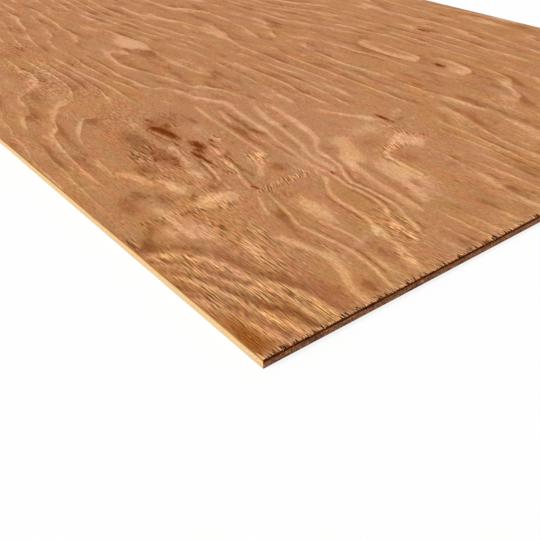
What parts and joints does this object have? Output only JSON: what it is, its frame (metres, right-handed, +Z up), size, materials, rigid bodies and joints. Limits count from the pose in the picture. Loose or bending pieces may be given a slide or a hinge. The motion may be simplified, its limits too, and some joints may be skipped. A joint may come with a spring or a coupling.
{
  "type": "plywood sheet",
  "caption": "Flat rectangular sheet of softwood sheathing plywood: rotary-cut veneers glued face to face with crossed grain, with sawn edges and splintered cross-cut ends.",
  "frame": {"origin": "centre of the sheet's underside, on the floor it lies on", "axes": "+X along the length and the face grain, +Y across the width, +Z up through the veneers to the face"},
  "size_m": [2.438, 1.219, 0.0119],
  "materials": {
    "face_veneer": "raw rotary-cut softwood, rough, matt",
    "core_veneer": "raw softwood, sawn edge, matt",
    "back_veneer": "raw rotary-cut softwood, rough, matt"
  },
  "bodies": {
    "root": {"face_veneer": "face_veneer", "core_veneer": "core_veneer", "back_veneer": "back_veneer"}
  },
  "joints": []
}
